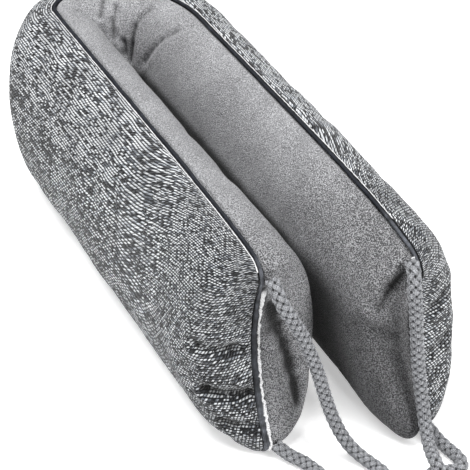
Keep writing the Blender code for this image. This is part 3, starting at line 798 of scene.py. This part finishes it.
def piping_rings(seam):
    """The covered cord sways a little from side to side, as sewn by hand past thick cloth."""
    marks, length, flat, normals = even_outline(seam, RING_STEP)
    turn = 2.0 * math.pi * marks / length
    circle = np.column_stack([np.cos(turn), np.sin(turn), np.zeros(len(turn))]) * length / (2.0 * math.pi)
    sway = sum(reach * soft_noise(circle, size, seed) for reach, size, seed in PIPING_SWAYS)
    level = (flat[:, 1] - flat[:, 1].min()) / np.ptp(flat[:, 1])
    bare = 1.0 - PIPING_SUNK * np.clip((level - PIPING_SUNK_FROM) / PIPING_SUNK_RISE, 0.0, 1.0)
    share, size, seed = PIPING_SWELL
    radius = seam.piping * ((1.0 + share * soft_noise(circle, size, seed)) * bare)[:, None]
    angle = ring_angles(PIPING_SIDES)
    sideways = radius * np.sin(angle) + sway[:, None]
    return marks, beside_outline(seam, flat, normals, radius * np.cos(angle), sideways)


def thread_rings(seam, start, stop, radius, kind):
    """A thread laid beside the piping, between two shares of the way round the seam."""
    marks, _, flat, normals = even_outline(seam, kind["step"])
    chosen = np.arange(round(start * len(marks)), round(stop * len(marks))) % len(marks)
    radius = radius * kind["thickness"]
    ragged, seed = kind["ragged"], kind["seed"]
    rough = (ragged * wander(marks[chosen], THREAD_WANDER, seed))[:, None]
    lumps = THREAD_LUMPINESS * ragged / radius * wander(marks[chosen], THREAD_LUMP, seed + 2)
    thick = (radius * (1.0 + lumps))[:, None]
    angle = ring_angles(THREAD_SIDES)
    out = kind["outward"] + thick * np.cos(angle) + rough * 0.5
    sideways = kind["sideways"] + rough + thick * np.sin(angle)
    return beside_outline(seam, flat[chosen], normals[chosen], out, sideways)


def smooth_route(points):
    """A dense smooth curve through given points (centripetal spline)."""
    knots = np.array(points)
    padded = np.vstack([2.0 * knots[0] - knots[1], knots, 2.0 * knots[-1] - knots[-2]])
    curve = []
    for start in range(1, len(padded) - 2):
        span = padded[start - 1:start + 3]
        gaps = np.sqrt(np.linalg.norm(np.diff(span, axis=0), axis=1))
        times = np.concatenate([[0.0], np.cumsum(gaps)])
        for moment in np.linspace(times[1], times[2], ROUTE_STEPS, endpoint=False):
            level = span
            for order in (1, 2, 3):
                upper = times[order:]
                lower = times[:-order]
                weight = ((moment - lower) / (upper - lower))[:, None]
                level = level[:-1] * (1.0 - weight) + level[1:] * weight
            curve.append(level[0])
    curve.append(knots[-1])
    return np.array(curve)


def even_steps(curve, step):
    distance = distances(curve)
    length = float(distance[-1])
    marks = np.linspace(0.0, length, round(length / step) + 1)
    return marks, read_along(marks, distance, curve)


def route_frame(centres):
    """Across and upward at each point, carried along the route without twisting."""
    tangents = unit(np.gradient(centres, axis=0))
    across = unit(np.cross(tangents[0], (0.0, 0.0, 1.0)))
    frames = []
    for tangent in tangents:
        across = unit(across - tangent * float(across @ tangent))
        frames.append((across, np.cross(across, tangent)))
    return np.array(frames)


def strand_rings(marks, centres, frames, number, sizes):
    """One flat strand of the round braid: half of them turn one way and half the other."""
    way = 1.0 if number % 2 == 0 else -1.0
    share = marks / sizes.braid_length
    turn = way * 2.0 * math.pi * share + math.pi * (number // 2) * 4.0 / BRAID_STRANDS
    weave = way * np.cos(BRAID_STRANDS * math.pi * share)
    seed = STRAND_SEED + number
    uneven = 1.0 + STRAND_UNEVENNESS * wander(marks, STRAND_UNEVEN_SIZE, seed)[:, None]
    radius = sizes.braid_radius + sizes.strand_rise * weave
    spoke = frames[:, 0] * np.cos(turn)[:, None] + frames[:, 1] * np.sin(turn)[:, None]
    path = centres + spoke * radius[:, None]
    flat = np.cross(unit(np.gradient(path, axis=0)), spoke)
    angle = ring_angles(STRAND_SIDES)
    groove = 1.0 - STRAND_GROOVE * np.exp(-(np.cos(angle) / STRAND_GROOVE_WIDTH) ** 2)
    wide = sizes.strand_width / 2.0 * uneven * np.cos(angle)
    thick = sizes.strand_thickness / 2.0 * uneven * np.sin(angle) * groove
    return path[:, None] + flat[:, None] * wide[..., None] + spoke[:, None] * thick[..., None]


def rope_piece(name, node, route, material):
    """Eight real strands braided round a core along the route, joined as one piece."""
    sizes = bpy.context.scene.draught_rope
    curve = smooth_route(route)
    marks, centres = even_steps(curve, STRAND_STEP)
    frames = route_frame(centres)
    angle = ring_angles(STRAND_SIDES)[:, None]
    spokes = frames[:, :1] * np.cos(angle) + frames[:, 1:] * np.sin(angle)
    tubes = [centres[:, None] + spokes * sizes.braid_radius * CORE_SHARE]
    tubes += [strand_rings(marks, centres, frames, number, sizes) for number in range(BRAID_STRANDS)]
    joined = bmesh.new()
    for rings in tubes:
        # Painted shade: the wool darkens where a strand dips below the braid's radius, in place of the
        # shadow between strands
        reach = np.linalg.norm(rings - centres[:, None], axis=-1) - sizes.braid_radius
        painted_strand_shade = np.clip(1.0 - reach / (STRAND_SHADE_REACH * sizes.strand_thickness), 0.0, 1.0) ** STRAND_SHADE_CURVE
        mesh = new_mesh(name + "_strand", tube_mesh(above_floor(rings), painted_shade=painted_strand_shade))
        joined.from_mesh(mesh)
        bpy.data.meshes.remove(mesh)
    piece = add_piece(name, joined, material)
    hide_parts(node)


# ---- Materials

class Value:
    """An output of a shader node. Sums with it add maths nodes."""

    def __init__(self, tree, socket):
        self.tree = tree
        self.socket = socket

    def maths(self, operation, other=0.0, clamp=False):
        return add_node(self.tree, "ShaderNodeMath", {0: self, 1: other},
                        operation=operation, use_clamp=clamp)

    def __add__(self, other):
        return self.maths("ADD", other)

    def __sub__(self, other):
        return self.maths("SUBTRACT", other)

    def __rsub__(self, other):
        return add_node(self.tree, "ShaderNodeMath", {0: other, 1: self}, operation="SUBTRACT")

    def __mul__(self, other):
        return self.maths("MULTIPLY", other)

    def __truediv__(self, other):
        return self.maths("DIVIDE", other)

    def wave(self, length):
        """A sine that repeats after a length."""
        return (self * (2.0 * math.pi / length)).maths("SINE")

    def axis(self, number):
        return add_node(self.tree, "ShaderNodeSeparateXYZ", {0: self}, number)

    def rising(self, start, stop, kind="SMOOTHSTEP"):
        """From 0 at start to 1 at stop."""
        return add_node(self.tree, "ShaderNodeMapRange",
                        {"Value": self, "From Min": start, "From Max": stop}, interpolation_type=kind)


def fill_inputs(tree, node, inputs):
    """Links an output to a node's input, or sets the input to a constant."""
    for name, value in inputs.items():
        if isinstance(value, Value):
            tree.links.new(value.socket, node.inputs[name])
        else:
            node.inputs[name].default_value = value


def add_node(tree, kind, inputs, output=0, **settings):
    made = tree.nodes.new(kind)
    for setting, value in settings.items():
        setattr(made, setting, value)
    fill_inputs(tree, made, inputs)
    return Value(tree, made.outputs[output])


def opaque(colour):
    return (*colour, 1.0)


def shades(base, factors):
    """Stops of a colour ramp: a base colour, made darker and lighter."""
    return [(position, tuple(part * factor for part in base)) for position, factor in factors]


class Finish:
    """A material and short ways to add its nodes."""

    def __init__(self, name):
        self.material = bpy.data.materials.new(name)
        self.material.use_nodes = True
        self.tree = self.material.node_tree

    def add(self, kind, inputs, output=0, **settings):
        return add_node(self.tree, kind, inputs, output, **settings)

    def cloth_axes(self):
        """Metres along the cloth and across it."""
        cloth = self.add("ShaderNodeUVMap", {}, "UV", uv_map="cloth")
        return cloth.axis(0), cloth.axis(1)

    def object_place(self):
        return self.add("ShaderNodeTexCoord", {}, "Object")

    def surface(self, inputs):
        fill_inputs(self.tree, self.tree.nodes["Principled BSDF"], inputs)
        return self.material

    def combine(self, x, y, z=0.0):
        return self.add("ShaderNodeCombineXYZ", {0: x, 1: y, 2: z})

    def noise(self, place, scale, detail=2.0, roughness=0.5):
        return self.add("ShaderNodeTexNoise", {
            "Vector": place, "Scale": scale, "Detail": detail, "Roughness": roughness}, "Fac")

    def ramp(self, value, stops):
        made = self.tree.nodes.new("ShaderNodeValToRGB")
        self.tree.links.new(value.socket, made.inputs[0])
        elements = made.color_ramp.elements
        while len(elements) < len(stops):
            elements.new(0.5)
        for element, (position, colour) in zip(elements, stops):
            element.position = position
            element.color = opaque(colour)
        return Value(self.tree, made.outputs[0])

    def mix(self, share, first, second, blend="MIX"):
        return self.add("ShaderNodeMix", {0: share, 6: first, 7: second}, 2,
                        data_type="RGBA", blend_type=blend)

    def with_painted_shade(self, colour, base, share):
        """The colour, darkened towards almost black by the painted shade in the fold layer."""
        fold = self.add("ShaderNodeAttribute", {}, "Fac", attribute_name="fold")
        deepest = 0.04
        return self.mix(fold * share, colour, opaque([part * deepest for part in base]))

    def bump(self, height, distance):
        return self.add("ShaderNodeBump", {"Distance": distance, "Height": height, "Strength": 1.0})


def tweed_rows(finish, looks, along, around, near_end, low):
    """The place in the cloth, counted in rows and in crossings along a row."""
    scale, reach = ROW_DRIFT
    close = finish.noise(finish.combine(along * SHAKE_SCALES[0], around * SHAKE_SCALES[1]), 1.0, 1.0)
    broad = finish.noise(finish.combine(along, around), scale, 1.0)
    drift = (broad - 0.5) * reach + (close * ROW_SHAKE - ROW_SHAKE / 2.0)
    fanned = near_end * (around * (math.pi / looks.cloth_girth)).maths("SINE")
    place = fanned * WEAVE_FAN + (around + drift)
    upper = place.maths("MINIMUM", 0.0)
    row = (upper * upper * -WEAVE_STRETCH + place) / looks.weave_pitch
    ragged_end = close - 0.5 + near_end
    low_end = ragged_end * low
    for zone, (where, gain) in ((ragged_end, FINER_END[0]), (ragged_end, FINER_END[1]),
                                (low_end, FINER_LOW_END)):
        row = row * (zone.maths("GREATER_THAN", where) * gain + 1.0)
    from_middle = (along - looks.cloth_middle).maths("ABSOLUTE")
    skewed = around * (near_end * (PICK_SKEW / 2.0) - PICK_SKEW)
    cell = (looks.cloth_middle - from_middle) + drift + skewed
    return row, cell * (near_end * FINER_PICKS + 1.0) / looks.pick_pitch


def tweed_shade(finish, along, around, row, cell, near_end, low):
    """Which yarn shows: low is black and high is white."""
    row_number = row.maths("FLOOR")
    slub_place = finish.combine(along * SLUB_SCALE, row_number * SLUB_ROW_SHIFT)
    band_place = finish.combine(along * BAND_SCALES[0], around * BAND_SCALES[1], 3.0)
    slubs = finish.noise(slub_place, 1.0, 1.0) - 0.5
    bands = finish.noise(band_place, 1.0, 1.0) - 0.5
    streak = slubs * YARN_TONES["slubs"] + bands * YARN_TONES["bands"]
    streak = streak * (near_end * YARN_TONES_AT_END["streaks"] + 1.0)
    coarse = finish.noise(finish.combine(along, around), COARSE_SCALE, 2.0) - 0.5
    streak = coarse * (low * YARN_TONES_LOW["coarse"] + YARN_TONES["coarse"]) + streak
    start = finish.add("ShaderNodeTexWhiteNoise", {"W": row_number}, "Value", noise_dimensions="1D")
    stroke = (cell * STROKES_PER_PICK + start * STROKE_SHIFT).maths("FLOOR")
    speck = finish.add("ShaderNodeTexWhiteNoise", {"Vector": finish.combine(stroke, row_number)},
                       "Value", noise_dimensions="2D")
    parity = (cell.maths("FLOOR") + row_number).maths("FLOORED_MODULO", 2.0)
    cross = (parity - 0.5) * (near_end * YARN_TONES_AT_END["cross"] + YARN_TONES["cross"])
    spot = (speck - 0.5) * YARN_TONES["specks"]
    # Darker on the lower side: painted shade
    return streak + cross + (spot + (low * YARN_TONES_LOW["shade"] + YARN_SHADE))


def tweed_finish():
    """Plain weave in rows along the arm: black, white and blue-grey yarns with long slubs."""
    looks = bpy.context.scene.draught_finish
    finish = Finish("tweed")
    along, around = finish.cloth_axes()
    place = finish.combine(along, around)
    from_middle = (along - looks.cloth_middle).maths("ABSOLUTE")
    near_end = from_middle.rising(*(looks.cloth_middle - reach for reach in END_ZONE))
    low = around.rising(*LOW_ZONE)
    row, cell = tweed_rows(finish, looks, along, around, near_end, low)
    colours = (looks.tweed_dark, looks.tweed_mid, looks.tweed_light, looks.tweed_white)
    shade = tweed_shade(finish, along, around, row, cell, near_end, low)
    yarns = finish.ramp(shade, tuple(zip(YARN_STOPS, colours)))
    dome_row = (row.maths("FRACT") * math.pi).maths("SINE")
    dome_cell = (cell.maths("FRACT") * math.pi).maths("SINE")
    steepness, start = YARN_GAPS["row"]
    row_gap = (dome_row * steepness).maths("ADD", start, clamp=True)
    steepness, start = YARN_GAPS["cell"]
    deeper = near_end.maths("MAXIMUM", low) * CELL_GAP_DEEPER + start
    cell_gap = (dome_cell * steepness).maths("ADD", deeper, clamp=True)
    shaded = finish.mix(row_gap * cell_gap, opaque(looks.tweed_gap), yarns)
    patches = finish.ramp(finish.noise(place, 34.0, 3.0), (
        (0.35, (0.30, 0.30, 0.31)), (0.62, (1.0, 1.0, 1.0))))
    mottled = finish.mix(PATCH_STRENGTH, shaded, patches, "MULTIPLY")
    fibres = finish.noise(place, 2600.0, 2.0)
    # The tweed's colour takes painted shade in its folds
    return finish.surface({
        "Base Color": finish.with_painted_shade(mottled, looks.tweed_dark, 0.80),
        "Normal": finish.bump(fibres * 0.35 + dome_row * dome_cell, 0.0011),
        "Roughness": 0.92, "Sheen Weight": 0.25, "Sheen Roughness": 0.5, "Specular IOR Level": 0.2})


def velour_finish():
    """Short dense nap: fine pale grain, and broad patches where the nap has been brushed."""
    base = bpy.context.scene.draught_finish.velour
    finish = Finish("plain_velour")
    place = finish.object_place()
    rough = place.axis(1).rising(*VELOUR_ROUGH)
    turned = rough * place.axis(0).rising(*VELOUR_RIGHT, "LINEAR")
    clumps = finish.noise(place, 1050.0, 1.0)
    grain = finish.noise(place, 1500.0, 1.0)
    tufts = finish.noise(place, 1250.0, 2.0, 0.6) - 0.5
    fibres = (clumps * 0.4 + grain * 0.6 - 0.5) * (rough * 2.6 + 1.1) + tufts * (turned + rough * 0.3)
    brushed = finish.noise(place, 30.0, 3.0, 0.55) - 0.5
    shade = brushed * 0.16 + (fibres + (turned * -0.07 + (rough * 0.03 + 0.5)))
    nap = finish.ramp(shade, shades(base, ((0.30, 0.35), (0.50, 1.0), (0.70, 2.1))))
    # The velour's colour takes painted shade in its folds and in the gap between the arms
    return finish.surface({
        "Base Color": finish.with_painted_shade(nap, base, 0.97), "Normal": finish.bump(fibres, 0.0016),
        "Roughness": 0.90, "Sheen Weight": 0.10, "Sheen Roughness": 0.35, "Specular IOR Level": 0.1})


def piping_finish():
    """Smooth charcoal cover, cut on the bias, over a cord; paler at the two ends."""
    looks = bpy.context.scene.draught_finish
    finish = Finish("piping_cover")
    along, around = finish.cloth_axes()
    place = finish.object_place()
    weave = (along + around).wave(PIPING_THREAD) * (along - around).wave(PIPING_THREAD)
    shade = weave * 0.10 + finish.noise(place, 190.0, 3.0, 0.6)
    dark = finish.ramp(shade, shades(looks.piping, ((0.30, 0.5), (0.55, 1.0), (0.80, 2.2))))
    paler_ends = finish.ramp(shade, shades(looks.piping_ends, ((0.32, 0.3), (0.52, 1.0), (0.74, 2.2))))
    height = finish.noise(place, 320.0, 2.0) * 1.6 + weave * 0.35
    return finish.surface({
        "Base Color": finish.mix(place.axis(1).rising(*PIPING_PALER_ENDS), dark, paler_ends),
        "Normal": finish.bump(height, 0.00035), "Roughness": 0.6, "Specular IOR Level": 0.25})


def wool_finish():
    """Blue-grey wool: fine yarns along each strand, darker between them; painted shade where the strands
    sink between one another.
    """
    base = bpy.context.scene.draught_finish.rope
    finish = Finish("rope_wool")
    along, around = finish.cloth_axes()
    place = finish.object_place()
    twist = (along * WOOL_TWIST + around).wave(WOOL_YARN)
    fibres = finish.noise(place, 1300.0, 2.0, 0.6)
    shade = finish.noise(place, 420.0, 2.0) * 0.3 + (twist * 0.10 + fibres)
    yarn = finish.ramp(shade, shades(base, ((0.46, 0.48), (0.65, 1.0), (0.84, 1.5))))
    # The wool's colour takes the painted shade between strands
    return finish.surface({
        "Base Color": finish.with_painted_shade(yarn, base, 0.95),
        "Normal": finish.bump(twist * 0.4 + fibres, 0.0008),
        "Roughness": 0.95, "Sheen Weight": 0.15, "Sheen Roughness": 0.6, "Specular IOR Level": 0.15})


def thread_finish():
    """Light overlocking thread."""
    base = bpy.context.scene.draught_finish.thread
    finish = Finish("edge_thread")
    along, _ = finish.cloth_axes()
    shade = along.wave(THREAD_STITCH) * 0.12 + finish.noise(finish.object_place(), 1200.0, 2.0)
    return finish.surface({
        "Base Color": finish.ramp(shade, shades(base, ((0.30, 0.55), (0.60, 1.0)))),
        "Normal": finish.bump(shade, 0.0002), "Roughness": 0.7})


def floor_finish():
    base = bpy.context.scene.draught_finish.floor
    finish = Finish("pale_floor")
    faint = finish.noise(finish.object_place(), 3.0, 2.0)
    return finish.surface({
        "Base Color": finish.ramp(faint, shades(base, ((0.3, 0.985), (0.7, 1.0)))),
        "Roughness": 0.75, "Specular IOR Level": 0.2,
        "Emission Color": (1.0, 1.0, 1.0, 1.0), "Emission Strength": FLOOR_GLOW})


# ---- Settings that a user would change

def length_property(name, description, default, smallest, largest):
    return bpy.props.FloatProperty(
        name=name, description=description, default=default, min=smallest, max=largest,
        precision=5, unit="LENGTH")


def colour_property(name, description, default):
    return bpy.props.FloatVectorProperty(
        name=name, description=description, default=default, min=0.0, max=1.0, size=3, subtype="COLOR")


class CushionSizes(bpy.types.PropertyGroup):
    height: length_property("Height", "From the floor to the top of the piping", 0.160, 0.08, 0.30)
    seam_spacing: length_property(
        "Arm Spacing", "Between the seams of the two arms", 0.0865, 0.07, 0.20)
    piping_diameter: length_property(
        "Piping Diameter", "Thickness of the covered cord round the seam", 0.0042, 0.002, 0.008)
    thread_diameter: length_property(
        "Thread Diameter", "Thickness of the light thread beside the piping", 0.0009, 0.0003, 0.003)


class RopeSizes(bpy.types.PropertyGroup):
    braid_radius: length_property(
        "Braid Radius", "From the rope's middle to the middle of its strands", 0.0033, 0.001, 0.01)
    strand_width: length_property(
        "Strand Width", "Width of one flat strand of two yarns", 0.0031, 0.001, 0.006)
    strand_thickness: length_property(
        "Strand Thickness", "Thickness of one flat strand", 0.0019, 0.0005, 0.006)
    strand_rise: length_property(
        "Strand Rise", "How far a strand rises and sinks as it crosses the others", 0.00055, 0.0, 0.003)
    braid_length: length_property(
        "Braid Length", "Length of one full turn of a strand", 0.0232, 0.008, 0.08)


class FinishSettings(bpy.types.PropertyGroup):
    tweed_dark: colour_property("Tweed Dark", "Black yarn of the tweed", (0.008, 0.009, 0.012))
    tweed_mid: colour_property("Tweed Middle", "Blue-grey yarn of the tweed", (0.15, 0.167, 0.195))
    tweed_light: colour_property("Tweed Light", "Light blue-grey yarn of the tweed", (0.72, 0.76, 0.815))
    tweed_white: colour_property("Tweed White", "White yarn of the tweed", (0.93, 0.955, 0.98))
    tweed_gap: colour_property("Tweed Gaps", "Between the yarns", (0.006, 0.007, 0.009))
    velour: colour_property("Velour", "Plain inner panel", (0.292, 0.293, 0.303))
    piping: colour_property("Piping", "Charcoal cover of the piping", (0.016, 0.018, 0.024))
    piping_ends: colour_property("Piping Ends", "Piping cover at the two ends", (0.066, 0.070, 0.080))
    rope: colour_property("Rope", "Blue-grey wool of the handles", (0.44, 0.45, 0.475))
    thread: colour_property("Thread", "Light thread beside the piping", (0.85, 0.85, 0.86))
    floor: colour_property("Floor", "Pale floor", (0.90, 0.90, 0.90))
    weave_pitch: length_property(
        "Row Pitch", "Width of one row of the tweed, at the middle of the belly", 0.0037, 0.0005, 0.005)
    pick_pitch: length_property(
        "Pick Pitch", "Between two crossings along a row of the tweed", 0.0030, 0.0005, 0.005)
    cloth_girth: length_property(
        "Cloth Width", "From the upper seam round the belly to the lower one", 0.21, 0.05, 0.5)
    cloth_middle: length_property(
        "Cloth Middle", "Half of the cushion's length laid flat", 0.449, 0.1, 1.0)


# ---- One operator for each piece or group of like pieces

class AddCamera(bpy.types.Operator):
    """Add the camera that looks down at the cushion from the front left"""
    bl_idname = "draught.add_camera"
    bl_label = "Camera"

    def execute(self, context):
        data = bpy.data.cameras.new("photo_camera")
        data.sensor_width = SENSOR_WIDTH
        data.lens = CAMERA_LENS
        camera = linked("photo_camera", data)
        camera.matrix_world = (
            Matrix.Translation(CAMERA_TARGET) @ Matrix.Rotation(CAMERA_AZIMUTH, 4, "Z")
            @ Matrix.Rotation(math.pi / 2.0 - CAMERA_ELEVATION, 4, "X")
            @ Matrix.Rotation(CAMERA_ROLL, 4, "Z") @ Matrix.Translation((0.0, 0.0, CAMERA_DISTANCE)))
        context.scene.camera = camera
        return {"FINISHED"}


class AddRopeHandles(bpy.types.Operator):
    """Add the two plaited rope handles"""
    bl_idname = "draught.add_rope_handles"
    bl_label = "Rope Handles"

    def execute(self, context):
        wool = wool_finish()
        rope_piece("rope_left", "handle_left", LEFT_ROPE_ROUTE, wool)
        rope_piece("rope_right", "handle_right", RIGHT_ROPE_ROUTE, wool)
        return {"FINISHED"}


class AddTweedPanel(bpy.types.Operator):
    """Add the filled tweed panel on the outside"""
    bl_idname = "draught.add_tweed_panel"
    bl_label = "Tweed Panel"

    def execute(self, context):
        panel_piece("tweed_panel", "outer_panel", tweed_finish(), outer=True,
                    folds=OUTER_FOLDS, seed=2, pucker=0.0016)
        return {"FINISHED"}


class AddVelourPanel(bpy.types.Operator):
    """Add the filled velour panel on the inside"""
    bl_idname = "draught.add_velour_panel"
    bl_label = "Velour Panel"

    def execute(self, context):
        panel_piece("velour_panel", "inner_panel", velour_finish(), outer=False,
                    folds=INNER_FOLDS, seed=7, pucker=0.0009)
        return {"FINISHED"}


class AddPiping(bpy.types.Operator):
    """Add the covered cord round the whole seam"""
    bl_idname = "draught.add_piping"
    bl_label = "Piping"

    def execute(self, context):
        marks, rings = piping_rings(Seam())
        piece = add_piece("seam_piping", tube_mesh(rings, closed=True, marks=marks), piping_finish())
        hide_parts("piping")
        return {"FINISHED"}


class AddEdgeThreads(bpy.types.Operator):
    """Add the light threads in the valleys beside the piping"""
    bl_idname = "draught.add_edge_threads"
    bl_label = "Edge Threads"

    def execute(self, context):
        seam = Seam()
        radius = context.scene.draught_cushion.thread_diameter / 2.0
        light = thread_finish()
        for name, start, stop, kind in EDGE_THREADS:
            piece = add_piece(name, tube_mesh(thread_rings(seam, start, stop, radius, kind)), light)
        return {"FINISHED"}


class AddStage(bpy.types.Operator):
    """Add the pale floor, the soft lights and the bright surroundings"""
    bl_idname = "draught.add_stage"
    bl_label = "Stage"

    def execute(self, context):
        mesh_bm = bmesh.new()
        bmesh.ops.create_grid(mesh_bm, x_segments=8, y_segments=8, size=FLOOR_SIZE)
        mesh = new_mesh("floor", mesh_bm)
        mesh.materials.append(floor_finish())
        floor = linked("floor", mesh)
        for name, place, size, power in LIGHTS:
            data = bpy.data.lights.new(name, "AREA")
            data.shape = "SQUARE"
            data.size = size
            data.energy = power
            light = linked(name, data)
            light.location = place
            aim = Vector(LIGHT_AIM) - Vector(place)
            light.rotation_euler = aim.to_track_quat("-Z", "Y").to_euler()
        world = bpy.data.worlds.new("bright_room")
        world.use_nodes = True
        sky = world.node_tree.nodes["Background"]
        sky.inputs[0].default_value = (1.0, 1.0, 1.0, 1.0)
        sky.inputs[1].default_value = WORLD_STRENGTH
        context.scene.world = world
        context.scene.view_settings.view_transform = "Standard"
        return {"FINISHED"}


STEPS = (AddCamera, AddRopeHandles, AddTweedPanel, AddVelourPanel, AddPiping, AddEdgeThreads, AddStage)
GROUPS = (("draught_cushion", CushionSizes), ("draught_rope", RopeSizes),
          ("draught_finish", FinishSettings))


class DraughtPanel(bpy.types.Panel):
    """Sizes, colours and build steps of the draught excluder"""
    bl_idname = "VIEW3D_PT_draught_excluder"
    bl_label = "Draught Excluder"
    bl_space_type = "VIEW_3D"
    bl_region_type = "UI"
    bl_category = "Draught Excluder"

    def draw(self, context):
        for attribute, group in GROUPS:
            settings = getattr(context.scene, attribute)
            box = self.layout.box()
            for key in group.__annotations__:
                box.prop(settings, key)
        for step in STEPS:
            self.layout.operator(step.bl_idname)


def register():
    for attribute, group in GROUPS:
        bpy.utils.register_class(group)
        setattr(bpy.types.Scene, attribute, bpy.props.PointerProperty(type=group))
    for step in STEPS:
        bpy.utils.register_class(step)
    bpy.utils.register_class(DraughtPanel)


def unregister():
    bpy.utils.unregister_class(DraughtPanel)
    for step in reversed(STEPS):
        bpy.utils.unregister_class(step)
    for attribute, group in reversed(GROUPS):
        delattr(bpy.types.Scene, attribute)
        bpy.utils.unregister_class(group)


def main():
    register()
    for step in STEPS:
        group, name = step.bl_idname.split(".")
        getattr(getattr(bpy.ops, group), name)()


if __name__ == "__main__":
    main()
